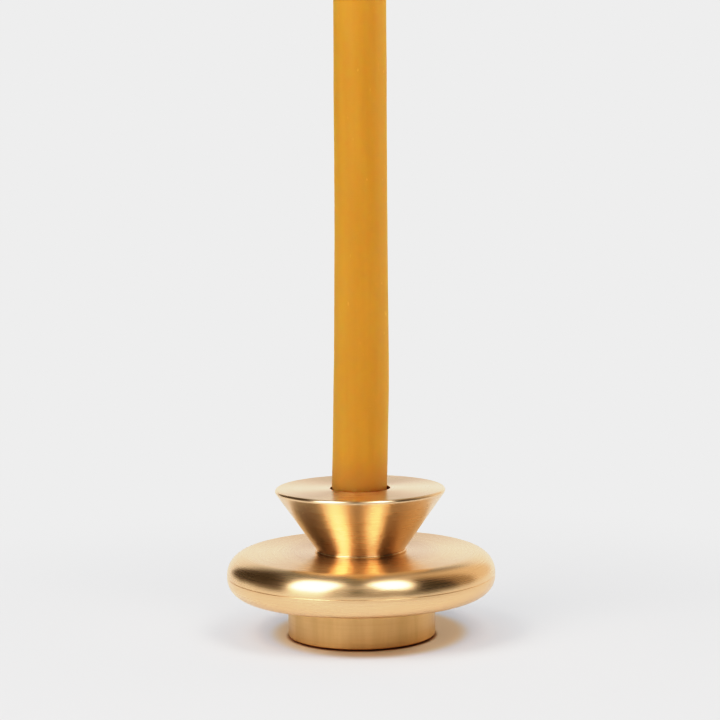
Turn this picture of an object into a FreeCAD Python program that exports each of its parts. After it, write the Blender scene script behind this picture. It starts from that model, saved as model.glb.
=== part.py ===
import FreeCAD, Part
import math
import os
import Sketcher

# A taper candle holder of three turned brass shapes stacked on one axis: a conical cup, a disc
# with a rounded rim and a drum foot.  One countersunk screw, sunk in the floor of the candle
# socket, runs down the axis and clamps the stack against a nut in the foot.  The disc is two
# turned shells that meet on its widest line, and a cast ring inside gives it weight.  A beeswax
# taper stands in the socket.
#
# Millimetres, +Z up.  The origin is on the table, on the turning axis.

SIZES = {
    # felt pad and foot
    "pad_thickness": 1.5,
    "pad_proud": 0.5,
    "pad_radius": 25.0,
    "pad_gap": 0.1,
    "pad_edge": 0.2,
    "foot_radius": 28.0,
    "foot_height": 15.7,
    "foot_bottom_round": 0.6,
    "foot_top_break": 0.2,
    "foot_web": 4.0,
    "nut_pocket_radius": 11.0,
    # disc
    "disc_radius": 51.0,
    "disc_thickness": 16.2,
    "upper_round": 8.3,
    "shell_wall": 2.5,
    "spigot_wall": 1.0,
    "spigot_height": 1.5,
    "spigot_gap": 0.05,
    "seam_break": 0.15,
    "ballast_radius": 44.0,
    "ballast_bore": 9.0,
    "ballast_height": 11.0,
    "ballast_break": 2.0,
    "spacer_radius": 7.0,
    # neck ring and cup
    "neck_radius": 17.4,
    "neck_thickness": 1.1,
    "neck_round": 0.3,
    "cup_base_radius": 16.9,
    "cup_height": 23.2,
    "cup_flare": 35.1,
    "cup_base_break": 0.2,
    "rim_round": 0.7,
    "socket_radius": 11.35,
    "socket_depth": 18.0,
    "socket_break": 0.25,
    # M6 fastening
    "screw_radius": 3.0,
    "screw_length": 35.0,
    "head_radius": 6.0,
    "head_height": 3.3,
    "head_rim": 0.3,
    "key_radius": 2.31,
    "key_depth": 2.0,
    "screw_point": 0.8,
    "screw_hole_radius": 3.3,
    "washer_radius": 6.0,
    "washer_bore": 3.2,
    "washer_thickness": 1.6,
    "lock_radius": 5.9,
    "lock_bore": 3.05,
    "lock_thickness": 1.6,
    "lock_slot": 1.2,
    "nut_corner_radius": 5.77,
    "nut_height": 5.2,
    "nut_bore": 3.05,
    "nut_bevel": 0.45,
    # candle
    "candle_gap": 0.3,
    "candle_length": 254.0,
    "candle_radius": 10.25,
    "candle_upper_radius": 9.7,
    "candle_base_break": 1.0,
    "candle_straight": 56.0,
    "candle_taper_end": 125.0,
    "candle_tip_length": 30.0,
    "candle_tip_radius": 2.0,
    "wick_radius": 1.0,
    "wick_bore": 1.05,
    "wick_proud": 10.0,
    "wick_round": 0.3,
}
COUNTER_CLOCKWISE = 1
CLOCKWISE = -1
COUNTERSINK_ANGLE = 90.0


class Size:
    """A length that carries both its number and the sheet expression that gives it."""

    def __init__(self, value, text):
        self.value = value
        self.text = text

    def __add__(self, other):
        other = as_size(other)
        return Size(self.value + other.value, f"({self.text} + {other.text})")

    def __sub__(self, other):
        other = as_size(other)
        return Size(self.value - other.value, f"({self.text} - {other.text})")

    def __mul__(self, other):
        other = as_size(other)
        return Size(self.value * other.value, f"({self.text} * {other.text})")

    def __truediv__(self, other):
        other = as_size(other)
        return Size(self.value / other.value, f"({self.text} / {other.text})")


def as_size(number):
    """Give a plain number the same form as a size from the sheet."""
    return number if isinstance(number, Size) else Size(number, repr(number))


def make_sheet(doc):
    """Write the driving dimensions to the sheet and return them by name."""
    sheet = doc.addObject("Spreadsheet::Sheet", "Sizes")
    for row, (name, value) in enumerate(SIZES.items(), start=1):
        sheet.set(f"A{row}", name)
        sheet.set(f"B{row}", str(value))
        sheet.setAlias(f"B{row}", name)
    doc.recompute()
    return {name: Size(value, f"Sizes.{name}") for name, value in SIZES.items()}


# ---- bodies, sketches and features -------------------------------------------------------


def new_body(doc, label, height):
    """Start a sub-part whose own zero stands at the given height above the table."""
    body = doc.addObject("PartDesign::Body", label)
    body.Label = label
    body.Placement = FreeCAD.Placement()
    body.setExpression("Placement.Base.z", as_size(height).text)
    return body


def new_sketch(body, name, role, height=0.0):
    """Attach a sketch to one of the body's own origin planes, raised along the plane's normal."""
    plane = next(item for item in body.Origin.OriginFeatures if item.Role == role)
    sketch = body.newObject("Sketcher::SketchObject", name)
    sketch.AttachmentSupport = (plane, [""])
    sketch.MapMode = "FlatFace"
    sketch.setExpression("AttachmentOffset.Base.z", as_size(height).text)
    return sketch


def place_point(sketch, element, position, x, z, name):
    """Hold one end of a sketch element at sizes from the sheet."""
    for kind, axis, size in (("DistanceX", "x", x), ("DistanceY", "y", z)):
        index = sketch.addConstraint(Sketcher.Constraint(kind, -1, 1, element, position, size.value))
        sketch.renameConstraint(index, f"{name}{axis}")
        sketch.setExpression(f"Constraints.{name}{axis}", size.text)


def arc_between(start, end, radius, turn):
    """Return the arc of a given radius that turns left or right from start to end."""
    middle = (start + end) / 2
    chord = end - start
    normal = FreeCAD.Vector(-chord.y, chord.x, 0).normalize()
    reach = math.sqrt(max(radius**2 - (chord.Length / 2) ** 2, 0.0))
    centre = middle + normal * (reach * turn)
    low, high = (start, end) if turn == COUNTER_CLOCKWISE else (end, start)
    first = math.atan2(low.y - centre.y, low.x - centre.x)
    last = math.atan2(high.y - centre.y, high.x - centre.x)
    circle = Part.Circle(centre, FreeCAD.Vector(0, 0, 1), radius)
    return Part.ArcOfCircle(circle, first, last + (2 * math.pi if last < first else 0.0))


def draw_outline(sketch, outline):
    """Draw a closed outline of (radius, height) points.

    A longer entry (radius, height, arc radius, turn) is reached by an arc instead of a line.
    """
    points = [(as_size(entry[0]), as_size(entry[1])) for entry in outline]
    corners = [FreeCAD.Vector(x.value, z.value, 0) for x, z in points]
    starts = []
    ends = []
    for index, entry in enumerate(outline):
        start, end = corners[index - 1], corners[index]
        if len(entry) == 2:
            element = sketch.addGeometry(Part.LineSegment(start, end), False)
            starts.append((element, 1))
            ends.append((element, 2))
            continue
        radius, turn = as_size(entry[2]), entry[3]
        element = sketch.addGeometry(arc_between(start, end, radius.value, turn), False)
        forward = turn == COUNTER_CLOCKWISE
        starts.append((element, 1 if forward else 2))
        ends.append((element, 2 if forward else 1))
        held = sketch.addConstraint(Sketcher.Constraint("Radius", element, radius.value))
        sketch.renameConstraint(held, f"round{index}")
        sketch.setExpression(f"Constraints.round{index}", radius.text)
    for index, (x, z) in enumerate(points):
        following = starts[(index + 1) % len(points)]
        sketch.addConstraint(Sketcher.Constraint("Coincident", *ends[index], *following))
        place_point(sketch, *ends[index], x, z, f"corner{index}")


def draw_circle(sketch, name, radius):
    """Draw a circle about the turning axis."""
    circle = Part.Circle(FreeCAD.Vector(0, 0, 0), FreeCAD.Vector(0, 0, 1), radius.value)
    element = sketch.addGeometry(circle, False)
    sketch.addConstraint(Sketcher.Constraint("Coincident", element, 3, -1, 1))
    index = sketch.addConstraint(Sketcher.Constraint("Radius", element, radius.value))
    sketch.renameConstraint(index, name)
    sketch.setExpression(f"Constraints.{name}", radius.text)


def turn_profile(body, name, outline, feature="PartDesign::Revolution"):
    """Turn an outline about the axis, to add it or, as a groove, to cut it away."""
    sketch = new_sketch(body, f"{name}_profile", "XZ_Plane")
    draw_outline(sketch, outline)
    turned = body.newObject(feature, name)
    turned.Profile = sketch
    turned.ReferenceAxis = (sketch, ["V_Axis"])
    turned.Angle = 360.0
    body.Document.recompute()
    return turned


def pad_ring(body, name, outer, inner, height):
    """Raise a ring, or a disc where there is no inner radius."""
    sketch = new_sketch(body, f"{name}_profile", "XY_Plane")
    draw_circle(sketch, "outer", outer)
    if inner is not None:
        draw_circle(sketch, "inner", inner)
    pad = body.newObject("PartDesign::Pad", name)
    pad.Profile = sketch
    pad.setExpression("Length", height.text)
    body.Document.recompute()
    return pad


def bore(body, name, radius, height, depth, upwards=False):
    """Sink a round pocket from the given height, downwards unless told otherwise."""
    sketch = new_sketch(body, f"{name}_profile", "XY_Plane", height)
    draw_circle(sketch, "outer", radius)
    before = body.Shape.Volume
    pocket = body.newObject("PartDesign::Pocket", name)
    pocket.Profile = sketch
    pocket.Reversed = upwards
    pocket.setExpression("Length", as_size(depth).text)
    body.Document.recompute()
    require(body.Shape.Volume < before, f"{name} cuts nothing")
    return pocket


def drill(body, name, radius, height, countersink=None):
    """Drill a clear hole down from the given height, countersunk where a head radius is given."""
    sketch = new_sketch(body, f"{name}_centre", "XY_Plane", height)
    draw_circle(sketch, "outer", radius)
    body.Document.recompute()
    before = body.Shape.Volume
    hole = body.newObject("PartDesign::Hole", name)
    hole.Profile = sketch
    hole.DepthType = "ThroughAll"
    hole.setExpression("Diameter", (radius * 2).text)
    if countersink is not None:
        hole.HoleCutType = "Countersink"
        hole.HoleCutCustomValues = True
        hole.HoleCutCountersinkAngle = COUNTERSINK_ANGLE
        hole.setExpression("HoleCutDiameter", (countersink * 2).text)
    body.Document.recompute()
    require(body.Shape.Volume < before, f"{name} cuts nothing")
    return hole


def edge_at(body, radius, height):
    """Name the circular edge of the given radius at the given height of the body's own frame."""
    shape = body.Tip.Shape
    for number, edge in enumerate(shape.Edges, start=1):
        if not isinstance(edge.Curve, Part.Circle):
            continue
        if abs(edge.Curve.Radius - radius.value) > 1e-4:
            continue
        if abs(edge.Curve.Center.z - as_size(height).value) < 1e-4:
            return f"Edge{number}"
    raise RuntimeError(f"{body.Label} has no edge of radius {radius.value} there")


def dress(body, name, kind, size, edges):
    """Round or break the circular edges given as (radius, height) pairs."""
    base = body.Tip
    names = [edge_at(body, radius, height) for radius, height in edges]
    feature = body.newObject(f"PartDesign::{kind}", name)
    feature.Base = (base, names)
    feature.setExpression("Radius" if kind == "Fillet" else "Size", size.text)
    body.Document.recompute()
    return feature


def require(passed, message):
    """Stop the build with a plain message when a condition isn't met."""
    if not passed:
        raise RuntimeError(message)


# ---- sub-parts ---------------------------------------------------------------------------


def make_felt_pad(doc, s):
    """The green-grey felt disc that the holder stands on."""
    body = new_body(doc, "felt_pad", 0.0)
    pad_ring(body, "disc", s["pad_radius"], None, s["pad_thickness"])
    dress(body, "worn_edge", "Fillet", s["pad_edge"], [(s["pad_radius"], 0.0)])


def make_foot(doc, s):
    """The drum foot, recessed below for the pad and counterbored for the nut."""
    height = s["foot_height"]
    recess = s["pad_thickness"] - s["pad_proud"]
    body = new_body(doc, "foot_drum", s["pad_proud"])
    corners = [(0.0, 0.0), (s["foot_radius"], 0.0), (s["foot_radius"], height), (0.0, height)]
    turn_profile(body, "drum", corners)
    bore(body, "pad_recess", s["pad_radius"] + s["pad_gap"], 0.0, recess, upwards=True)
    bore(body, "nut_pocket", s["nut_pocket_radius"], 0.0, height - s["foot_web"], upwards=True)
    drill(body, "screw_hole", s["screw_hole_radius"], height)
    dress(body, "bottom_round", "Fillet", s["foot_bottom_round"], [(s["foot_radius"], 0.0)])
    dress(body, "top_break", "Chamfer", s["foot_top_break"], [(s["foot_radius"], height)])


def make_lower_shell(doc, s, bottom):
    """The lower half of the disc, a dish whose spigot centres the upper half."""
    radius, wall, edge = s["disc_radius"], s["shell_wall"], s["seam_break"]
    rounding = s["disc_thickness"] - s["upper_round"]
    inner_rounding = rounding - wall
    spigot = radius - wall + s["spigot_wall"]
    outline = [
        (0.0, 0.0),
        (radius - rounding, 0.0),
        (radius, rounding, rounding, COUNTER_CLOCKWISE),
        (spigot, rounding),
        (spigot, rounding + s["spigot_height"]),
        (radius - wall, rounding + s["spigot_height"]),
        (radius - wall, rounding),
        (radius - rounding, wall, inner_rounding, CLOCKWISE),
        (0.0, wall),
    ]
    body = new_body(doc, "disc_lower_shell", bottom)
    turn_profile(body, "dish", outline)
    drill(body, "screw_hole", s["screw_hole_radius"], wall)
    dress(body, "seam_break", "Chamfer", edge, [(radius, rounding)])


def make_upper_shell(doc, s, seam):
    """The upper half of the disc, a lid with a rebate round the lower half's spigot."""
    radius, wall, edge = s["disc_radius"], s["shell_wall"], s["seam_break"]
    rounding = s["upper_round"]
    inner_rounding = rounding - wall
    rebate = radius - wall + s["spigot_wall"] + s["spigot_gap"]
    depth = s["spigot_height"] + s["spigot_gap"]
    shoulder = radius - rounding
    outline = [
        (0.0, rounding - wall),
        (shoulder, rounding - wall),
        (radius - wall, 0.0, inner_rounding, CLOCKWISE),
        (radius, 0.0),
        (shoulder, rounding, rounding, COUNTER_CLOCKWISE),
        (0.0, rounding),
    ]
    body = new_body(doc, "disc_upper_shell", seam)
    turn_profile(body, "lid", outline)
    bore(body, "spigot_rebate", rebate, 0.0, depth, upwards=True)
    drill(body, "screw_hole", s["screw_hole_radius"], rounding)
    dress(body, "seam_break", "Chamfer", edge, [(radius, 0.0)])


def make_ballast(doc, s, floor):
    """The cast ring that lies in the disc and steadies a tall candle."""
    body = new_body(doc, "ballast_ring", floor)
    pad_ring(body, "ring", s["ballast_radius"], s["ballast_bore"], s["ballast_height"])
    rims = [(s["ballast_radius"], 0.0), (s["ballast_radius"], s["ballast_height"])]
    dress(body, "cast_break", "Chamfer", s["ballast_break"], rims)


def make_spacer(doc, s, floor):
    """The tube that keeps the screw's pull from crushing the two shells."""
    body = new_body(doc, "spacer_tube", floor)
    height = s["disc_thickness"] - s["shell_wall"] * 2
    pad_ring(body, "tube", s["spacer_radius"], s["screw_hole_radius"], height)


def make_neck_ring(doc, s, bottom):
    """The thin collar between the disc and the cup."""
    body = new_body(doc, "neck_ring", bottom)
    pad_ring(body, "collar", s["neck_radius"], s["screw_hole_radius"], s["neck_thickness"])
    rims = [(s["neck_radius"], 0.0), (s["neck_radius"], s["neck_thickness"])]
    dress(body, "rounded_rim", "Fillet", s["neck_round"], rims)


def make_cup(doc, s, bottom):
    """The cone that flares up to a flat rim, bored for the candle."""
    height, base = s["cup_height"], s["cup_base_radius"]
    flare = Size(math.tan(math.radians(s["cup_flare"].value)), f"tan({s['cup_flare'].text} * 1 deg)")
    rim = base + height * flare
    body = new_body(doc, "candle_cup", bottom)
    turn_profile(body, "cone", [(0.0, 0.0), (base, 0.0), (rim, height), (0.0, height)])
    bore(body, "socket", s["socket_radius"], height, s["socket_depth"])
    floor = height - s["socket_depth"]
    drill(body, "screw_hole", s["screw_hole_radius"], floor, s["head_radius"] + s["head_rim"])
    dress(body, "base_break", "Chamfer", s["cup_base_break"], [(base, 0.0)])
    dress(body, "rim_round", "Fillet", s["rim_round"], [(rim, height)])
    dress(body, "socket_break", "Chamfer", s["socket_break"], [(s["socket_radius"], height)])


def make_screw(doc, s, point):
    """The countersunk M6 screw with a hexagon socket, thread left plain."""
    radius, length, head = s["screw_radius"], s["screw_length"], s["head_radius"]
    neck = length - s["head_height"]
    outline = [
        (0.0, 0.0),
        (radius - s["screw_point"], 0.0),
        (radius, s["screw_point"]),
        (radius, neck),
        (head, length - s["head_rim"]),
        (head, length),
        (0.0, length),
    ]
    body = new_body(doc, "tie_screw", point)
    turn_profile(body, "blank", outline)
    before = body.Shape.Volume
    key = body.newObject("PartDesign::SubtractivePrism", "hexagon_key")
    key.Polygon = 6
    key.setExpression("Circumradius", s["key_radius"].text)
    key.setExpression("Height", s["key_depth"].text)
    key.setExpression("Placement.Base.z", (length - s["key_depth"]).text)
    doc.recompute()
    require(body.Shape.Volume < before, "hexagon_key cuts nothing")


def make_washer(doc, s, bottom):
    """The plain washer against the web of the foot."""
    body = new_body(doc, "flat_washer", bottom)
    pad_ring(body, "ring", s["washer_radius"], s["washer_bore"], s["washer_thickness"])


def make_lock_washer(doc, s, bottom):
    """The split spring washer, drawn as it lies when the nut is tight."""
    body = new_body(doc, "lock_washer", bottom)
    pad_ring(body, "ring", s["lock_radius"], s["lock_bore"], s["lock_thickness"])
    half = s["lock_slot"] / 2
    near = s["lock_bore"] / 2
    far = s["lock_radius"] + half
    before = body.Shape.Volume
    sketch = new_sketch(body, "split_profile", "XY_Plane", s["lock_thickness"])
    draw_outline(sketch, [(near, half * -1), (far, half * -1), (far, half), (near, half)])
    split = body.newObject("PartDesign::Pocket", "split")
    split.Profile = sketch
    split.setExpression("Length", s["lock_thickness"].text)
    doc.recompute()
    require(body.Shape.Volume < before, "split cuts nothing")


def make_nut(doc, s, bottom):
    """The hexagon nut, its corners turned off at both faces."""
    corner, height, bevel = s["nut_corner_radius"], s["nut_height"], s["nut_bevel"]
    start = corner - bevel * 2
    far = corner + bevel * 2
    drop = bevel * 2
    body = new_body(doc, "hex_nut", bottom)
    hexagon = body.newObject("PartDesign::AdditivePrism", "hexagon")
    hexagon.Polygon = 6
    hexagon.setExpression("Circumradius", corner.text)
    hexagon.setExpression("Height", height.text)
    doc.recompute()
    bore(body, "thread_bore", s["nut_bore"], height, height)
    before = body.Shape.Volume
    low = [(start, 0.0), (far, 0.0), (far, drop)]
    high = [(start, height), (far, height), (far, height - drop)]
    turn_profile(body, "lower_bevel", low, "PartDesign::Groove")
    turn_profile(body, "upper_bevel", high, "PartDesign::Groove")
    require(body.Shape.Volume < before, "the nut's bevels cut nothing")


def make_wax(doc, s, bottom):
    """The beeswax taper, widest in the socket, with a drawn tip."""
    length, radius, upper = s["candle_length"], s["candle_radius"], s["candle_upper_radius"]
    tip, small, edge = s["candle_tip_length"], s["candle_tip_radius"], s["candle_base_break"]
    drop = upper - small
    ogive = (tip * tip + drop * drop) / (drop * 2)
    outline = [
        (0.0, 0.0),
        (radius - edge, 0.0),
        (radius, edge),
        (radius, s["candle_straight"]),
        (upper, s["candle_taper_end"]),
        (upper, length - tip),
        (small, length, ogive, COUNTER_CLOCKWISE),
        (0.0, length),
    ]
    body = new_body(doc, "candle_wax", bottom)
    turn_profile(body, "taper", outline)
    bore(body, "wick_bore", s["wick_bore"], length, length)


def make_wick(doc, s, bottom):
    """The cotton wick, which runs the whole length of the candle."""
    height = s["candle_length"] + s["wick_proud"]
    body = new_body(doc, "candle_wick", bottom)
    pad_ring(body, "cord", s["wick_radius"], None, height)
    dress(body, "frayed_end", "Fillet", s["wick_round"], [(s["wick_radius"], height)])


# ---- assembly ----------------------------------------------------------------------------


def build(doc):
    """Stack the sub-parts, each on the one below."""
    s = make_sheet(doc)
    disc_bottom = s["pad_proud"] + s["foot_height"]
    disc_top = disc_bottom + s["disc_thickness"]
    disc_floor = disc_bottom + s["shell_wall"]
    seam = disc_top - s["upper_round"]
    cup_bottom = disc_top + s["neck_thickness"]
    socket_floor = cup_bottom + s["cup_height"] - s["socket_depth"]
    candle_bottom = socket_floor + s["candle_gap"]
    washer_bottom = disc_bottom - s["foot_web"] - s["washer_thickness"]
    lock_bottom = washer_bottom - s["lock_thickness"]

    make_felt_pad(doc, s)
    make_foot(doc, s)
    make_lower_shell(doc, s, disc_bottom)
    make_upper_shell(doc, s, seam)
    make_ballast(doc, s, disc_floor)
    make_spacer(doc, s, disc_floor)
    make_neck_ring(doc, s, disc_top)
    make_cup(doc, s, cup_bottom)
    make_screw(doc, s, socket_floor - s["screw_length"])
    make_washer(doc, s, washer_bottom)
    make_lock_washer(doc, s, lock_bottom)
    make_nut(doc, s, lock_bottom - s["nut_height"])
    make_wax(doc, s, candle_bottom)
    make_wick(doc, s, candle_bottom)


def check(doc):
    """Stop if any object failed, or any sub-part isn't one valid solid."""
    doc.recompute()
    for item in doc.Objects:
        failed = {"Invalid", "Error"} & set(item.State)
        require(not failed, f"{item.Label} failed: {item.State}")
    for body in doc.findObjects("PartDesign::Body"):
        shape = body.Shape
        require(not shape.isNull() and shape.isValid(), f"{body.Label} is not valid")
        require(len(shape.Solids) == 1, f"{body.Label} is not one solid")
        box = shape.optimalBoundingBox()
        cubic_cm = shape.Volume / 1000
        print(f"{body.Label:18s} {cubic_cm:8.3f} cm3  z {box.ZMin:7.2f} to {box.ZMax:7.2f}")


def export(doc):
    """Write each sub-part to a file named after it."""
    os.makedirs("parts", exist_ok=True)
    for body in doc.findObjects("PartDesign::Body"):
        body.Shape.exportStep(f"parts/{body.Label}.step")


document = FreeCAD.newDocument("taper_candle_holder")
build(document)
check(document)
export(document)
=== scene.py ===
import math

import bpy
from mathutils import Matrix, Vector, noise


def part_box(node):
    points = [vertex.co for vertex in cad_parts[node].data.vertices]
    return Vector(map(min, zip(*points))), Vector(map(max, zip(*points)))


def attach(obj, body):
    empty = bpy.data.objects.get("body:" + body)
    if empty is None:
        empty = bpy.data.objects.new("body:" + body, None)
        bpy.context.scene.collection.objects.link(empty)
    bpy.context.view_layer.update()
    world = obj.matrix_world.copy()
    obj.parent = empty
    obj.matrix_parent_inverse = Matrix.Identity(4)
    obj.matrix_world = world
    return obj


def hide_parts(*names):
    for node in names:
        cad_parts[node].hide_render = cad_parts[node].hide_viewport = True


# A turned brass taper holder with a beeswax candle.  The CAD frame gives every place and size;
# this script turns the visible shapes again with fine rounds, and gives them their finishes.
# Lengths are metres, and MM turns a drawing size into metres.

MM = 0.001
ON_AXIS = 1e-9  # a radius under this lies on the axis
STRAIGHT = 1e-6  # a turn under this is no corner
AROUND = 320  # facets round a turned piece
CANDLE_AROUND = 160
ARC_STEP = math.radians(7.5)  # the angle between points on a round
BRASS_RUN = 2.5 * MM  # the longest face along a straight stretch
FELT_RUN = 1.2 * MM
CANDLE_RUN = 1.5 * MM

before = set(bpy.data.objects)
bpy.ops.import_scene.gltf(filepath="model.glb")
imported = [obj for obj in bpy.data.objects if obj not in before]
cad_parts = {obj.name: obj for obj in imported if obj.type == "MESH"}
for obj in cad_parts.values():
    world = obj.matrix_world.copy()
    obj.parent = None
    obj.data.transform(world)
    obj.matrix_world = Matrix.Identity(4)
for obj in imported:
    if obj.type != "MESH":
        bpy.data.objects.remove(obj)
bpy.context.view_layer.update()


# ---- turned shapes -----------------------------------------------------------------------


def unit(x, y):
    length = math.hypot(x, y)
    return x / length, y / length


def section(corners, run=BRASS_RUN):
    """Turn a closed outline, counter-clockwise in (radius, height), into points with normals.

    Each corner is (radius, height, rounding).  Arcs get a point every ARC_STEP or so, and
    straight stretches a point at least every `run`, so that the turned mesh has even faces.
    """
    count = len(corners)
    arcs = []
    for i, (r, z, rounding) in enumerate(corners):
        before, after = corners[i - 1], corners[(i + 1) % count]
        ax, ay = unit(r - before[0], z - before[1])
        bx, by = unit(after[0] - r, after[1] - z)
        turn = math.atan2(ax * by - ay * bx, ax * bx + ay * by)
        start = math.atan2(-ax, ay)
        if r < ON_AXIS:
            across = -ax if abs(ax) > ON_AXIS else bx
            arcs.append([(r, z, 0.0, math.copysign(1.0, across))])
            continue
        if rounding <= 0.0 or abs(turn) < STRAIGHT:
            middle = start + turn / 2
            arcs.append([(r, z, math.cos(middle), math.sin(middle))])
            continue
        reach = rounding * math.tan(abs(turn) / 2)
        side = 1.0 if turn > 0 else -1.0
        cx = r - ax * reach - side * rounding * math.cos(start)
        cy = z - ay * reach - side * rounding * math.sin(start)
        steps = max(3, round(abs(turn) / ARC_STEP))
        arc = []
        for k in range(steps + 1):
            angle = start + turn * k / steps
            nx, ny = math.cos(angle), math.sin(angle)
            arc.append((cx + side * rounding * nx, cy + side * rounding * ny, nx, ny))
        arcs.append(arc)
    points = []
    for i, arc in enumerate(arcs):
        points += arc
        (r0, z0, nx, ny), (r1, z1, mx, my) = arc[-1], arcs[(i + 1) % count][0]
        if r0 < ON_AXIS and r1 < ON_AXIS:
            continue
        pieces = math.ceil(math.hypot(r1 - r0, z1 - z0) / run)
        dx, dy = unit(r1 - r0, z1 - z0)
        for k in range(1, pieces):
            t = k / pieces
            points.append((r0 + (r1 - r0) * t, z0 + (z1 - z0) * t, dy, -dx))
    return points


def add_piece(name, coords, faces, smooth=True):
    """Make an object of these points and faces, and put it in the scene."""
    mesh = bpy.data.meshes.new(name)
    mesh.from_pydata(coords, [], faces)
    if smooth:
        mesh.polygons.foreach_set("use_smooth", [True] * len(mesh.polygons))
    piece = bpy.data.objects.new(name, mesh)
    bpy.context.scene.collection.objects.link(piece)
    return piece


def lathe(name, points, move=None, around=AROUND):
    """Turn section points about the axis into one watertight mesh.

    `move` takes a point and its normal to a new point.  Without it the mesh keeps the exact
    normals of the section.
    """
    rings, coords, normals = [], [], []
    for r, z, nr, nz in points:
        if r < ON_AXIS:
            rings.append([len(coords)] * around)
            coords.append(Vector((0.0, 0.0, z)))
            normals.append(Vector((0.0, 0.0, math.copysign(1.0, nz))))
            continue
        rings.append(list(range(len(coords), len(coords) + around)))
        for k in range(around):
            angle = 2 * math.pi * k / around
            c, s = math.cos(angle), math.sin(angle)
            coords.append(Vector((r * c, r * s, z)))
            normals.append(Vector((nr * c, nr * s, nz)))
    faces = []
    for low, high in zip(rings, rings[1:] + rings[:1]):
        if low[0] == low[1] and high[0] == high[1]:
            continue
        for k in range(around):
            n = (k + 1) % around
            face = [low[k], low[n], high[n], high[k]]
            faces.append([v for j, v in enumerate(face) if v not in face[:j]])
    if move:
        return add_piece(name, [move(p, n) for p, n in zip(coords, normals)], faces)
    piece = add_piece(name, coords, faces)
    piece.data.normals_split_custom_set_from_vertices(normals)
    return piece


# ---- material helpers --------------------------------------------------------------------


class Nodes:
    """A small builder for one material's node tree."""

    def __init__(self, name):
        self.material = bpy.data.materials.new(name)
        self.material.use_nodes = True
        self.tree = self.material.node_tree
        self.shader = self.tree.nodes["Principled BSDF"]
        self.coords = self.tree.nodes.new("ShaderNodeTexCoord").outputs["Object"]

    def link(self, source, target):
        if isinstance(source, bpy.types.NodeSocket):
            self.tree.links.new(source, target)
        else:
            target.default_value = source

    def math(self, operation, *values):
        node = self.tree.nodes.new("ShaderNodeMath")
        node.operation = operation
        for socket, value in zip(node.inputs, values):
            self.link(value, socket)
        return node.outputs[0]

    def split(self, vector):
        node = self.tree.nodes.new("ShaderNodeSeparateXYZ")
        self.link(vector, node.inputs[0])
        return node.outputs

    def join(self, *values):
        node = self.tree.nodes.new("ShaderNodeCombineXYZ")
        for socket, value in zip(node.inputs, values):
            self.link(value, socket)
        return node.outputs[0]

    def noise(self, vector, scale, detail=2.0, roughness=0.5, w=None):
        node = self.tree.nodes.new("ShaderNodeTexNoise")
        if w is not None:
            node.noise_dimensions = "4D"
            self.link(w, node.inputs["W"])
        self.link(vector, node.inputs["Vector"])
        node.inputs["Scale"].default_value = scale
        node.inputs["Detail"].default_value = detail
        node.inputs["Roughness"].default_value = roughness
        return node.outputs[0]

    def remap(self, value, low, high, to_low, to_high, smooth=True):
        node = self.tree.nodes.new("ShaderNodeMapRange")
        node.interpolation_type = "SMOOTHSTEP" if smooth else "LINEAR"
        self.link(value, node.inputs["Value"])
        for key, number in zip(("From Min", "From Max", "To Min", "To Max"),
                               (low, high, to_low, to_high)):
            self.link(number, node.inputs[key])
        return node.outputs[0]

    def mix(self, factor, first, second, blend="MIX"):
        node = self.tree.nodes.new("ShaderNodeMix")
        node.data_type = "RGBA"
        node.blend_type = blend
        self.link(factor, node.inputs[0])
        for socket, value in ((node.inputs[6], first), (node.inputs[7], second)):
            self.link(value if not isinstance(value, tuple) else (*value, 1.0), socket)
        return node.outputs[2]

    def bump(self, height, distance, strength=1.0, normal=None):
        node = self.tree.nodes.new("ShaderNodeBump")
        node.inputs["Strength"].default_value = strength
        node.inputs["Distance"].default_value = distance
        self.link(height, node.inputs["Height"])
        if normal is not None:
            self.link(normal, node.inputs["Normal"])
        return node.outputs[0]

    def set(self, **values):
        for key, value in values.items():
            socket = self.shader.inputs[key.replace("_", " ")]
            if isinstance(value, tuple) and socket.type == "RGBA":
                value = (*value, 1.0)
            self.link(value, socket)


# Each brass is its clean metal, its patina and its tool marks.
CUP_BRASS = ((0.97, 0.77, 0.54), (0.97, 0.75, 0.51), (0.96, 0.72, 0.465))
DISC_BRASS = ((0.97, 0.74, 0.48), (0.97, 0.72, 0.455), (0.96, 0.69, 0.42))
# The foot's brass is painted darker than the rest, as shade under the disc's overhang.
FOOT_BRASS_SHADED = ((0.87, 0.62, 0.35), (0.77, 0.54, 0.285), (0.73, 0.49, 0.25))
# Painted highlight colour: near its base the cup's brass is tinted paler, so its highlights there
# come out whiter.
CUP_PALE_BASE_HIGHLIGHT = (0.93, 0.75, 0.59)
# Painted shade: the disc's brass darkens in a ring round the foot of the cup, in the corner
# between them.
DISC_PAINTED_SHADE = (0.75, 0.56, 0.38)
WAX_LIGHT = (0.69, 0.438, 0.094)
WAX_DEEP = (0.665, 0.405, 0.083)
WAX_WARM = (0.64, 0.38, 0.078)
WAX_BLOOM = (0.84, 0.55, 0.15)
WAX_PAINTED_SHADE = (0.61, 0.34, 0.11)  # painted shade: the wax darker deeper in and just above the socket, where the cup shades it

FINE_MARKS = 4200.0  # tool marks, as noise per metre
COARSE_MARKS = 1100.0


def turning_coords(n):
    """Coordinates for marks that run round the axis: (cos, sin, radius) and height as W."""
    x, y, z = n.split(n.coords)
    radius = n.math("SQRT", n.math("ADD", n.math("MULTIPLY", x, x), n.math("MULTIPLY", y, y)))
    safe = n.math("MAXIMUM", radius, 1e-5)
    return n.math("DIVIDE", x, safe), n.math("DIVIDE", y, safe), radius, z


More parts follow.
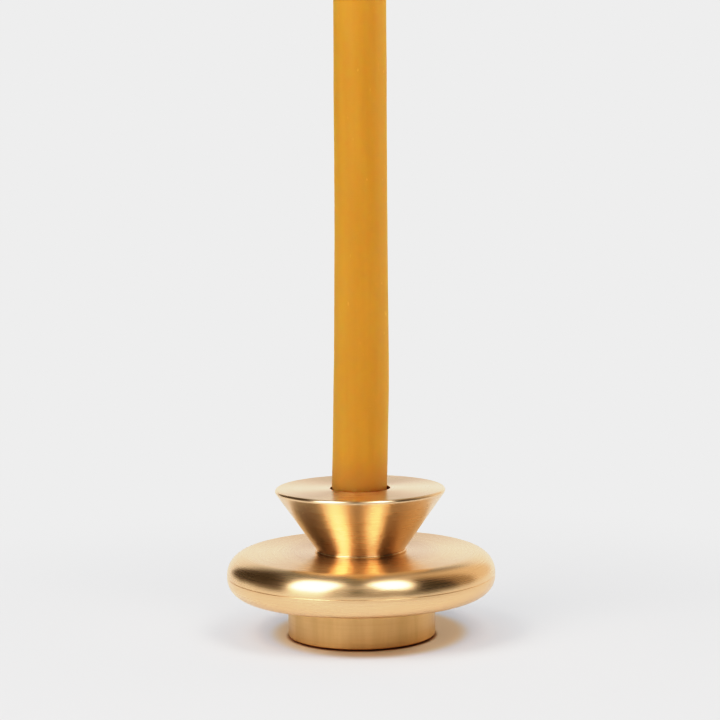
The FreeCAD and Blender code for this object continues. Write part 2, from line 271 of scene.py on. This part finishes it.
def satin_brass(name, colours, roughness, anisotropic, groove, cloud=30.0, upright=1.0,
                painted_shading=None):
    """Turned brass with a satin finish: fine tool marks round the axis and a slight patina.

    `cloud` is how fine the patina is, and `upright` under 1 draws it out into upright streaks.
    The last argument, for painted shading, is the measure, "radius" or "height", the two values
    between which the painted tone fades out, and its colour: shade or a paler highlight painted
    by a neighbouring part.
    """
    clean, dull, marked = colours
    n = Nodes(name)
    c, s, radius, z = turning_coords(n)
    x, y, _ = n.split(n.coords)

    def rings(per_metre, sweep):
        vector = n.join(n.math("MULTIPLY", c, sweep), n.math("MULTIPLY", s, sweep),
                        n.math("MULTIPLY", radius, per_metre))
        return n.noise(vector, 1.0, 3.0, 0.6, w=n.math("MULTIPLY", z, per_metre))

    fine = rings(FINE_MARKS, 1.6)
    coarse = rings(COARSE_MARKS, 0.5)
    patina = n.noise(n.join(x, y, n.math("MULTIPLY", z, upright)), cloud, 3.0, 0.5)
    tone = n.mix(n.remap(patina, 0.3, 0.75, 0.0, 1.0), clean, dull)
    tone = n.mix(n.remap(coarse, 0.35, 0.8, 0.0, 0.25), tone, marked)
    # Painted shading: a tone faded in next to the neighbouring part stands in for how the light
    # falls there.
    if painted_shading:
        measure, full, none, shading_colour = painted_shading
        cover = n.remap({"radius": radius, "height": z}[measure], full, none, 0.55, 0.0)
        tone = n.mix(cover, tone, shading_colour)
    n.set(Base_Color=tone, Metallic=1.0, Anisotropic=anisotropic, Anisotropic_Rotation=0.25)
    spread = n.math("ADD", n.remap(patina, 0.25, 0.75, -0.008, 0.012),
                    n.remap(fine, 0.3, 0.7, -0.02, 0.03))
    n.set(Roughness=n.math("ADD", spread, roughness))
    tangent = n.tree.nodes.new("ShaderNodeTangent")
    tangent.direction_type = "RADIAL"
    tangent.axis = "Z"
    n.set(Tangent=tangent.outputs[0])
    relief = n.bump(fine, groove * MM, 1.0)
    n.set(Normal=n.bump(coarse, 2.0 * groove * MM, 1.0, relief))
    return n.material


def beeswax():
    """Amber wax: long soft streaks from dipping, small pale flecks, a little light inside."""
    n = Nodes("beeswax_amber")
    x, y, z = n.split(n.coords)
    streak = n.noise(n.join(x, y, n.math("MULTIPLY", z, 0.06)), 260.0, 3.0, 0.55)
    band = n.noise(n.coords, 22.0, 2.0, 0.5)
    fleck = n.noise(n.join(x, y, n.math("MULTIPLY", z, 0.45)), 620.0, 1.0, 0.4)
    tone = n.mix(n.remap(streak, 0.3, 0.7, 0.0, 1.0), WAX_DEEP, WAX_LIGHT)
    tone = n.mix(n.remap(band, 0.35, 0.65, 0.0, 0.45), tone, WAX_WARM)
    tone = n.mix(n.remap(fleck, 0.74, 0.84, 0.0, 0.55), tone, WAX_BLOOM)
    # Painted shade: the wax darkens towards the socket and inside it, where the cup shades it.
    socket_shade = n.remap(z, cup_high.z - 2.0 * MM, cup_high.z + 17.0 * MM, 1.0, 0.0)
    tone = n.mix(socket_shade, tone, WAX_PAINTED_SHADE)
    n.set(Base_Color=tone, Subsurface_Weight=1.0, Subsurface_Radius=(1.0, 0.6, 0.3),
          Subsurface_Scale=18.0 * MM, IOR=1.44)
    n.set(Roughness=n.remap(streak, 0.25, 0.75, 0.42, 0.56))
    pits = n.noise(n.coords, 900.0, 3.0, 0.6)
    relief = n.bump(streak, 0.05 * MM, 0.7)
    n.set(Normal=n.bump(pits, 0.03 * MM, 0.5, relief))
    return n.material


def cotton():
    n = Nodes("cotton_cord")
    fibre = n.noise(n.coords, 5200.0, 3.0, 0.6)
    stain = n.noise(n.coords, 700.0, 2.0, 0.5)
    tone = n.mix(n.remap(fibre, 0.3, 0.7, 0.0, 1.0), (0.62, 0.55, 0.43), (0.84, 0.79, 0.68))
    tone = n.mix(n.remap(stain, 0.45, 0.7, 0.0, 0.5), tone, (0.70, 0.52, 0.28))
    n.set(Base_Color=tone, Roughness=n.remap(fibre, 0.3, 0.7, 0.78, 0.95), Sheen_Weight=0.3)
    n.set(Normal=n.bump(fibre, 0.05 * MM, 0.8))
    return n.material


def felt():
    n = Nodes("wool_felt")
    x, y, z = n.split(n.coords)
    fibre = n.noise(n.coords, 2400.0, 4.0, 0.7)
    tuft = n.noise(n.join(x, n.math("MULTIPLY", y, 3.0), z), 420.0, 3.0, 0.6)
    tone = n.mix(n.remap(fibre, 0.3, 0.7, 0.0, 1.0), (0.012, 0.011, 0.010), (0.05, 0.046, 0.042))
    tone = n.mix(n.remap(tuft, 0.45, 0.75, 0.0, 0.5), tone, (0.085, 0.080, 0.072))
    n.set(Base_Color=tone, Roughness=n.remap(tuft, 0.3, 0.7, 0.85, 1.0), Sheen_Weight=0.45,
          Sheen_Roughness=0.6)
    relief = n.bump(tuft, 0.3 * MM, 0.7)
    n.set(Normal=n.bump(fibre, 0.12 * MM, 0.9, relief))
    return n.material


def zinc():
    n = Nodes("zinc_plated_steel")
    spangle = n.noise(n.coords, 900.0, 2.0, 0.5)
    wear = n.noise(n.coords, 160.0, 4.0, 0.6)
    tone = n.mix(n.remap(spangle, 0.3, 0.7, 0.0, 1.0), (0.56, 0.57, 0.58), (0.70, 0.71, 0.71))
    tone = n.mix(n.remap(wear, 0.5, 0.75, 0.0, 0.5), tone, (0.42, 0.41, 0.38))
    n.set(Base_Color=tone, Metallic=1.0, Roughness=n.remap(wear, 0.3, 0.7, 0.28, 0.5))
    n.set(Normal=n.bump(spangle, 0.02 * MM, 0.6))
    return n.material


def cast_iron():
    n = Nodes("cast_iron_grey")
    grain = n.noise(n.coords, 700.0, 5.0, 0.65)
    rust = n.noise(n.coords, 90.0, 4.0, 0.6)
    tone = n.mix(n.remap(grain, 0.3, 0.7, 0.0, 1.0), (0.06, 0.058, 0.056), (0.14, 0.135, 0.13))
    tone = n.mix(n.remap(rust, 0.55, 0.75, 0.0, 0.6), tone, (0.17, 0.08, 0.035))
    n.set(Base_Color=tone, Metallic=0.6, Roughness=n.remap(grain, 0.3, 0.7, 0.55, 0.8))
    n.set(Normal=n.bump(grain, 0.25 * MM, 0.9))
    return n.material


# ---- camera ------------------------------------------------------------------------------

scene = bpy.context.scene
view = scene.view_settings
view.view_transform = "Standard"
view.look = "None"

# A gentle photographic contrast curve: darker shadows, lighter middle tones, soft highlights.
TONE = ((0.065, 0.022), (0.235, 0.195), (0.44, 0.50), (0.69, 0.855))
view.use_curve_mapping = True
view.curve_mapping.use_clip = False
contrast = view.curve_mapping.curves[3]
contrast.points[1].location = (1.18, 1.0)
for tone_in, tone_out in TONE:
    contrast.points.new(tone_in, tone_out)
view.curve_mapping.update()

CAMERA_AT = Vector((0.0, -0.77218, 0.17995))
CAMERA_PITCH = math.radians(5.526)  # looking down
CAMERA_YAW = math.radians(0.045)
CAMERA_ROLL = math.radians(-0.744)

camera = bpy.data.objects.new("camera", bpy.data.cameras.new("camera"))
camera.data.lens = 102.89
camera.data.sensor_width = 36.0
camera.data.clip_start = 0.01
ahead = Vector((math.sin(CAMERA_YAW) * math.cos(CAMERA_PITCH),
                math.cos(CAMERA_YAW) * math.cos(CAMERA_PITCH), -math.sin(CAMERA_PITCH)))
level = Vector((math.cos(CAMERA_YAW), -math.sin(CAMERA_YAW), 0.0))
above = level.cross(ahead)
right = level * math.cos(CAMERA_ROLL) + above * math.sin(CAMERA_ROLL)
up = above * math.cos(CAMERA_ROLL) - level * math.sin(CAMERA_ROLL)
turn = Matrix((right, up, -ahead)).transposed().to_4x4()
camera.matrix_world = Matrix.Translation(CAMERA_AT) @ turn
scene.collection.objects.link(camera)
scene.camera = camera


# ---- the holder --------------------------------------------------------------------------

pad_low, pad_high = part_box("felt_pad")
foot_low, foot_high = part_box("foot_drum")
lower_low, lower_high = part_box("disc_lower_shell")
upper_low, upper_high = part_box("disc_upper_shell")
neck_low, neck_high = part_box("neck_ring")
cup_low, cup_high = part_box("candle_cup")
wax_low, wax_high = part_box("candle_wax")
wick_low, wick_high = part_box("candle_wick")

SCREW_HOLE = 3.3 * MM
COUNTERSINK = 6.3 * MM
WALL = 2.5 * MM
SPIGOT_WALL = 1.0 * MM
SPIGOT_GAP = 0.05 * MM
SPIGOT_RECESS = 1.55 * MM
SEAM_ROUND = 0.17 * MM
SEAM_CORNER = SEAM_ROUND * 0.99  # just short of the next corner's round
FULLNESS = 0.9 * MM  # how far below the seam the lower shell's side stays upright
EDGE = 0.1 * MM  # the round on an edge that nobody sees

# The cup's painted shading is a paler tint towards its base, for whiter highlights there.
satin_cup = satin_brass("satin_brass_cup", CUP_BRASS, 0.29, 0.82, 0.0005,
                        painted_shading=("height", cup_low.z, cup_low.z + 12.0 * MM, CUP_PALE_BASE_HIGHLIGHT))
satin_neck = satin_brass("satin_brass_neck", CUP_BRASS, 0.18, 0.5, 0.0004)
# The disc's painted shading is a darker ring round the foot of the cup.
satin_disc = satin_brass("satin_brass_disc", DISC_BRASS, 0.28, 0.70, 0.0004,
                         painted_shading=("radius", neck_high.x + 5.0 * MM, neck_high.x + 17.0 * MM,
                                  DISC_PAINTED_SHADE))
# The foot's darker brass is painted shade under the disc.
satin_foot = satin_brass("satin_brass_foot", FOOT_BRASS_SHADED, 0.36, 0.60, 0.0010, 170.0, 0.1)

pad = lathe("pad_felt", section([
    (0.0, pad_low.z, 0.0),
    (pad_high.x, pad_low.z, 0.25 * MM),
    (pad_high.x, pad_high.z, EDGE),
    (0.0, pad_high.z, 0.0),
], FELT_RUN))

PAD_RECESS = 25.1 * MM
RECESS_TOP = foot_low.z + 1.0 * MM
NUT_POCKET = 11.0 * MM
WEB_UNDER = foot_high.z - 4.0 * MM
foot = lathe("foot_brass", section([
    (SCREW_HOLE, WEB_UNDER, EDGE),
    (NUT_POCKET, WEB_UNDER, EDGE),
    (NUT_POCKET, RECESS_TOP, EDGE),
    (PAD_RECESS, RECESS_TOP, EDGE),
    (PAD_RECESS, foot_low.z, EDGE),
    (foot_high.x, foot_low.z, 0.6 * MM),
    (foot_high.x, foot_high.z, 0.2 * MM),
    (SCREW_HOLE, foot_high.z, EDGE),
]))

seam = upper_low.z
disc_radius = upper_high.x
lower_round = seam - lower_low.z
upper_round = upper_high.z - seam
spigot = disc_radius - WALL + SPIGOT_WALL
spigot_top = lower_high.z
lower_shell = lathe("disc_lower_brass", section([
    (SCREW_HOLE, lower_low.z, EDGE),
    (disc_radius, lower_low.z, lower_round - FULLNESS),
    (disc_radius, seam, SEAM_CORNER),
    (spigot, seam, 0.05 * MM),
    (spigot, spigot_top, EDGE),
    (disc_radius - WALL, spigot_top, EDGE),
    (disc_radius - WALL, lower_low.z + WALL, lower_round - WALL),
    (SCREW_HOLE, lower_low.z + WALL, EDGE),
]))
upper_shell = lathe("disc_upper_brass", section([
    (SCREW_HOLE, upper_high.z - WALL, EDGE),
    (disc_radius - WALL, upper_high.z - WALL, upper_round - WALL - 2.0 * MM),
    (disc_radius - WALL, seam + SPIGOT_RECESS, EDGE),
    (spigot + SPIGOT_GAP, seam + SPIGOT_RECESS, EDGE),
    (spigot + SPIGOT_GAP, seam, 0.05 * MM),
    (disc_radius, seam, SEAM_CORNER),
    (disc_radius, upper_high.z, upper_round - SEAM_ROUND),
    (SCREW_HOLE, upper_high.z, EDGE),
]))

neck = lathe("neck_brass", section([
    (SCREW_HOLE, neck_low.z, EDGE),
    (neck_high.x, neck_low.z, 0.3 * MM),
    (neck_high.x, neck_high.z, 0.3 * MM),
    (SCREW_HOLE, neck_high.z, EDGE),
]))

CUP_BASE = 16.9 * MM
CUP_FLARE = math.radians(35.1)
SOCKET = 11.35 * MM
SOCKET_FLOOR = cup_high.z - 18.0 * MM
cup_rim = CUP_BASE + (cup_high.z - cup_low.z) * math.tan(CUP_FLARE)
cup = lathe("cup_brass", section([
    (SCREW_HOLE, cup_low.z, EDGE),
    (CUP_BASE, cup_low.z, 0.2 * MM),
    (cup_rim, cup_high.z, 0.95 * MM),
    (SOCKET, cup_high.z, 0.3 * MM),
    (SOCKET, SOCKET_FLOOR, EDGE),
    (COUNTERSINK, SOCKET_FLOOR, EDGE),
    (SCREW_HOLE, SOCKET_FLOOR - (COUNTERSINK - SCREW_HOLE), EDGE),
]))

# ---- the candle --------------------------------------------------------------------------

# The candle is bowed a little: it leans in the socket and straightens above it.
LEAN_CENTRE = -0.269 * MM
LEAN_SWING = 1.014 * MM
LEAN_HEIGHT = 22.1 * MM
LEAN_REACH = 34.5 * MM
LEAN_SLOPE = 0.0074

WAVE, RIPPLE = 0.11, 0.035  # how far the sides waver, in millimetres
GRIP_FROM = 16.0 * MM  # the wavering grows from here up, where the socket ends
GRIP_RISE = 12.0 * MM
WICK_CLEAR = 2.2 * MM  # within this the wax keeps its place round the wick
WICK_BORE = 1.05 * MM
SWELL = 0.19 * MM  # how much fuller the candle is above the socket
CANDLE_UPPER = 9.9 * MM
TIP_LENGTH = 30.0 * MM
TIP_RADIUS = 2.0 * MM
TIP_STEPS = 14


def candle_line(z):
    """How far the bowed candle's middle stands to the right of the socket's axis."""
    h = z - wax_low.z
    return LEAN_CENTRE + LEAN_SWING * math.tanh((h - LEAN_HEIGHT) / LEAN_REACH) + LEAN_SLOPE * h


def bow(point, normal):
    """Bow the candle, and let its sides waver as dipped wax does."""
    h = point.z - wax_low.z
    side = Vector((normal.x, normal.y, 0.0))
    wave = noise.noise(Vector((point.x * 60.0, point.y * 60.0, point.z * 28.0)))
    ripple = noise.noise(Vector((point.x * 260.0, point.y * 260.0, point.z * 110.0)))
    free = min(1.0, max(0.0, (h - GRIP_FROM) / GRIP_RISE))
    bulge = (wave * WAVE + ripple * RIPPLE) * MM * (0.35 + 0.65 * free)
    if math.hypot(point.x, point.y) < WICK_CLEAR:
        bulge = 0.0
    return point + side * bulge + Vector((candle_line(point.z), 0.0, 0.0))


def candle_outline():
    """The candle's half section: a straight foot, a slow taper, and a pointed arch at the tip."""
    base, top = wax_low.z, wax_high.z
    lower, upper, tip = wax_high.x, CANDLE_UPPER, TIP_LENGTH
    full = lower + SWELL
    outline = [(WICK_BORE, base, EDGE), (lower, base, 1.2 * MM), (lower, base + 15 * MM, 2 * MM),
               (full, base + 18.5 * MM, 2 * MM), (full, base + 56 * MM, 60 * MM),
               (upper, base + 125 * MM, 60 * MM), (upper, top - tip, 0.0)]
    drop = upper - TIP_RADIUS
    ogive = (tip * tip + drop * drop) / (2 * drop)
    for k in range(1, TIP_STEPS):
        rise = tip * (k / TIP_STEPS) ** 0.85
        outline.append((upper - ogive + math.sqrt(ogive ** 2 - rise ** 2), top - tip + rise, 0.0))
    outline += [(TIP_RADIUS, top, 0.35 * MM), (WICK_BORE, top, EDGE)]
    return outline


wax = lathe("candle_beeswax", section(candle_outline(), CANDLE_RUN), bow, CANDLE_AROUND)


WICK_RADIUS = 1.0 * MM
WICK_PITCH = 3.4 * MM
STRAND = 0.42 * MM
STRAND_SIDES = 8
PLAIT_STEPS = 14  # points along a strand in one pitch


def braid(name, low, high, pitch=WICK_PITCH, strand=STRAND, steps=PLAIT_STEPS,
          sides=STRAND_SIDES):
    """Three plaited strands round the candle's line, curling over above the wax."""
    coords, faces = [], []
    reach = WICK_RADIUS - strand
    total = int((high - low) / pitch * steps)
    for index in range(3):
        line = []
        for k in range(total + 1):
            z = low + (high - low) * k / total
            phase = 2 * math.pi * (k / steps + index / 3)
            beyond = max(0.0, z - wax_high.z)
            curl = 18.0 * beyond * beyond
            line.append(Vector((candle_line(z) + reach * math.sin(phase) + curl,
                                reach * 0.62 * math.sin(2 * phase) + 0.4 * curl, z)))
        start = len(coords)
        for k, point in enumerate(line):
            ahead = (line[min(k + 1, total)] - line[max(k - 1, 0)]).normalized()
            across = ahead.cross(Vector((0.0, 1.0, 0.0))).normalized()
            over = ahead.cross(across)
            thin = strand * (0.6 if k in (0, total) else 1.0)
            for j in range(sides):
                angle = 2 * math.pi * j / sides
                coords.append(point + (across * math.cos(angle) + over * math.sin(angle)) * thin)
        for k in range(total):
            a = start + k * sides
            for j in range(sides):
                n = (j + 1) % sides
                faces.append((a + j, a + n, a + sides + n, a + sides + j))
        faces.append(tuple(start + j for j in reversed(range(sides))))
        faces.append(tuple(start + total * sides + j for j in range(sides)))
    return add_piece(name, coords, faces)


wick = braid("wick_cotton", wick_low.z + 0.5 * MM, wick_high.z - 0.5 * MM)

# ---- finishes and what rides on what -----------------------------------------------------

felt_look, wax_look, cotton_look = felt(), beeswax(), cotton()
for piece, node, slot, look, body in (
    (pad, "felt_pad", "felt", felt_look, "holder"),
    (foot, "foot_drum", "satin_brass", satin_foot, "holder"),
    (lower_shell, "disc_lower_shell", "satin_brass", satin_disc, "holder"),
    (upper_shell, "disc_upper_shell", "satin_brass", satin_disc, "holder"),
    (neck, "neck_ring", "satin_brass", satin_neck, "holder"),
    (cup, "candle_cup", "satin_brass", satin_cup, "holder"),
    (wax, "candle_wax", "beeswax", wax_look, "candle"),
    (wick, "candle_wick", "cotton_wick", cotton_look, "candle"),
):
    piece.data.materials.append(look)
    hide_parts(node)
    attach(piece, body)

zinc_look, iron_look = zinc(), cast_iron()
for node, look in (("ballast_ring", iron_look), ("spacer_tube", zinc_look),
                   ("tie_screw", zinc_look), ("flat_washer", zinc_look),
                   ("lock_washer", zinc_look), ("hex_nut", zinc_look)):
    for material_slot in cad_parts[node].material_slots:
        material_slot.material = look

# ---- floor, backdrop and light -----------------------------------------------------------

PALE = 0.69  # the backdrop's brightness, the same all the way round
BOWL_FLAT = 1.1
BOWL_CURVE = 1.5
BOWL_TOP = 2.6
BOWL_AROUND = 96
CURVE_STEPS = 24
DOME_STEPS = 12
DOME_DIM = 0.33  # how bright the dome's top is beside the walls

FLOOR_WHITE = (0.72, 0.645, 0.57)
FLOOR_GLOW = (0.17, 0.225, 0.285)
FLOOR_WARM = (0.74, 0.53, 0.385)  # the floor close to the foot, tinted as if by the brass
# Painted shade: the warm ring glows less in front of the foot than beside it.
FLOOR_FRONT_SHADED_GLOW = (0.075, 0.10, 0.085)
FLOOR_SIDE_GLOW = (0.165, 0.185, 0.155)
BLACK = (0.0, 0.0, 0.0)


def bowl():
    """One seamless floor and backdrop all the way round."""
    profile = [(0.0, 0.0), (0.08, 0.0), (0.2, 0.0), (0.45, 0.0), (0.8, 0.0), (BOWL_FLAT, 0.0)]
    for k in range(1, CURVE_STEPS + 1):
        angle = math.pi / 2 * k / CURVE_STEPS
        profile.append((BOWL_FLAT + BOWL_CURVE * math.sin(angle),
                        BOWL_CURVE * (1 - math.cos(angle))))
    wall = BOWL_FLAT + BOWL_CURVE
    for k in range(1, DOME_STEPS + 1):
        angle = math.pi / 2 * k / DOME_STEPS
        profile.append((wall * math.cos(angle), BOWL_CURVE + BOWL_TOP * math.sin(angle)))
    coords, faces, around = [], [], BOWL_AROUND
    for r, z in profile:
        for k in range(around):
            angle = 2 * math.pi * k / around
            coords.append((r * math.cos(angle), r * math.sin(angle), z))
    for i in range(len(profile) - 1):
        for k in range(around):
            n = (k + 1) % around
            faces.append((i * around + k, i * around + n, (i + 1) * around + n,
                          (i + 1) * around + k))
    return add_piece("backdrop", coords, faces)


def backdrop_material():
    """Pale paper that glows evenly, takes shadows only round the object, and is warm by the foot.

    The warm ring is paint: it stands for the light that the brass throws on the floor.
    """
    n = Nodes("backdrop_paper")
    x, y, z = n.split(n.coords)
    away = n.math("SQRT", n.math("ADD", n.math("MULTIPLY", x, x), n.math("MULTIPLY", y, y)))
    aside = n.math("SUBTRACT", x, 3.0 * MM)
    behind = n.math("MULTIPLY", n.math("SUBTRACT", y, 4.5 * MM), 0.88)
    ring = n.math("SQRT", n.math("ADD", n.math("MULTIPLY", aside, aside),
                                 n.math("MULTIPLY", behind, behind)))
    near = n.math("MULTIPLY", n.remap(away, 0.10, 0.30, 1.0, 0.0),
                  n.remap(away, 0.034, 0.080, 1.0, 0.62))
    warm = n.remap(ring, 0.033, 0.040, 1.0, 0.0)
    # Painted contact shadow: the glow goes out under the foot and just beyond its edge.
    contact_shadow = n.remap(away, foot_high.x - 0.5 * MM, foot_high.x + 1.5 * MM, 1.0, 0.0)
    high = n.remap(z, 1.2, 2.2, 1.0, DOME_DIM)
    white = n.mix(warm, FLOOR_WHITE, FLOOR_WARM)
    n.set(Base_Color=n.mix(near, BLACK, white), Roughness=1.0, Specular_IOR_Level=0.0)
    # Painted shade in front of the foot: the ring's glow is lower there than at its sides.
    beside = n.remap(n.math("ABSOLUTE", aside), 0.006, 0.026, 0.0, 1.0)
    warm_glow = n.mix(beside, FLOOR_FRONT_SHADED_GLOW, FLOOR_SIDE_GLOW)
    glow = n.mix(near, (PALE, PALE, PALE), n.mix(warm, FLOOR_GLOW, warm_glow))
    glow = n.mix(contact_shadow, glow, BLACK)
    n.set(Emission_Color=glow, Emission_Strength=high)
    return n.material


floor = bowl()
floor.data.materials.append(backdrop_material())


def direction(azimuth, elevation):
    """Unit vector.  Azimuth runs from the viewer's side (0) towards the right (90)."""
    a, e = math.radians(azimuth), math.radians(elevation)
    return Vector((math.sin(a) * math.cos(e), -math.cos(a) * math.cos(e), math.sin(e)))


SOFT_EDGE = 0.3  # how much of a softbox's width fades out at each side


def softbox(name, azimuth, elevation, distance, width, height, radiance):
    """An area light that faces the origin, fades out at its edges and hides from the camera."""
    light = bpy.data.lights.new(name, "AREA")
    light.shape = "RECTANGLE"
    light.size = width
    light.size_y = height
    light.energy = radiance * width * height * math.pi
    light.use_nodes = True
    tree = light.node_tree
    where = tree.nodes.new("ShaderNodeSeparateXYZ")
    tree.links.new(tree.nodes.new("ShaderNodeNewGeometry").outputs["Parametric"], where.inputs[0])
    strength = 1.0
    for side in where.outputs[:2]:
        fade = tree.nodes.new("ShaderNodeMath")
        fade.operation = "PINGPONG"
        fade.inputs[1].default_value = 0.5
        tree.links.new(side, fade.inputs[0])
        ramp = tree.nodes.new("ShaderNodeMapRange")
        ramp.interpolation_type = "SMOOTHSTEP"
        ramp.inputs["From Max"].default_value = SOFT_EDGE
        tree.links.new(fade.outputs[0], ramp.inputs["Value"])
        product = tree.nodes.new("ShaderNodeMath")
        product.operation = "MULTIPLY"
        tree.links.new(ramp.outputs[0], product.inputs[0])
        if isinstance(strength, float):
            product.inputs[1].default_value = strength
        else:
            tree.links.new(strength, product.inputs[1])
        strength = product.outputs[0]
    tree.links.new(strength, tree.nodes["Emission"].inputs["Strength"])
    lamp = bpy.data.objects.new(name, light)
    lamp.location = direction(azimuth, elevation) * distance
    lamp.rotation_euler = (-lamp.location).to_track_quat("-Z", "Y").to_euler()
    lamp.visible_camera = False
    scene.collection.objects.link(lamp)
    return lamp


CARD_COLOUR = (1.0, 0.97, 0.93)
CARD_COLS, CARD_ROWS = 16, 12


def card(name, azimuths, elevations, distance, glow, colour=CARD_COLOUR):
    """A curved card that glows dimly between the lights, seen only in reflections."""
    coords, faces = [], []
    cols, rows = CARD_COLS, CARD_ROWS
    for j in range(rows + 1):
        for i in range(cols + 1):
            a = azimuths[0] + (azimuths[1] - azimuths[0]) * i / cols
            e = elevations[0] + (elevations[1] - elevations[0]) * j / rows
            coords.append(direction(a, e) * distance)
    for j in range(rows):
        for i in range(cols):
            a = j * (cols + 1) + i
            faces.append((a, a + 1, a + cols + 2, a + cols + 1))
    piece = add_piece(name, coords, faces, smooth=False)
    n = Nodes(name)
    n.set(Base_Color=BLACK, Roughness=1.0, Specular_IOR_Level=0.0,
          Emission_Color=colour, Emission_Strength=glow)
    piece.data.materials.append(n.material)
    piece.visible_camera = False


softbox("key_left", -51, 47.5, 1.3, 0.89, 1.15, 3.65)
softbox("key_right", 35.3, 54.5, 1.3, 0.70, 1.02, 3.6)
# name, azimuths, elevations, distance, glow and colour
for row in (
    ("gap_foot", (-30, 20), (-1, 8), 1.5, 0.08, (1.0, 0.90, 0.80)),
    ("gap_side", (20, 34), (-1, 18), 1.5, 0.26, (1.0, 0.90, 0.80)),
    ("gap_left", (-30, -10), (8, 40), 1.5, 0.42),
    ("gap_centre", (-10, 20), (8, 18), 1.5, 0.24, (1.0, 0.92, 0.84)),
    ("gap_dark", (-10, 0), (18, 40), 1.5, 0.10),
    ("gap_right", (0, 20), (18, 40), 1.5, 0.36),
    ("gap_middle", (-20, 10), (40, 58), 1.5, 0.47),
    ("gap_high", (-30, 34), (58, 86), 1.5, 0.02),
    ("gap_above_left", (-30, -20), (40, 58), 1.5, 0.02),
    ("gap_above_right", (10, 20), (40, 58), 1.5, 0.02),
    ("gap_far_right", (20, 34), (18, 58), 1.5, 0.02),
    ("low_right", (34, 66), (-1, 22), 1.2, 0.05),
    ("flag_left", (-143, -68), (6, 52), 1.5, 0.09, (1.0, 0.83, 0.68)),
    ("flag_far_left", (-146, -116), (-1, 6), 1.5, 0.10, (1.0, 0.83, 0.68)),
    ("flag_right", (48, 89), (-1, 72), 1.5, 0.07, (1.0, 0.88, 0.76)),
    ("warm_right", (89, 112), (-1, 72), 1.5, 0.31, (1.0, 0.80, 0.62)),
    ("side_right", (112, 146), (-1, 72), 1.5, 0.62, (1.0, 0.88, 0.74)),
):
    card(*row)

# A fill that lights only the candle, so that its wax glows evenly on both sides.
fill = softbox("fill_candle", 88, 18.0, 1.0, 0.9, 0.9, 1.33)
candle_only = bpy.data.collections.new("candle_only")
candle_only.objects.link(wax)
fill.light_linking.receiver_collection = candle_only
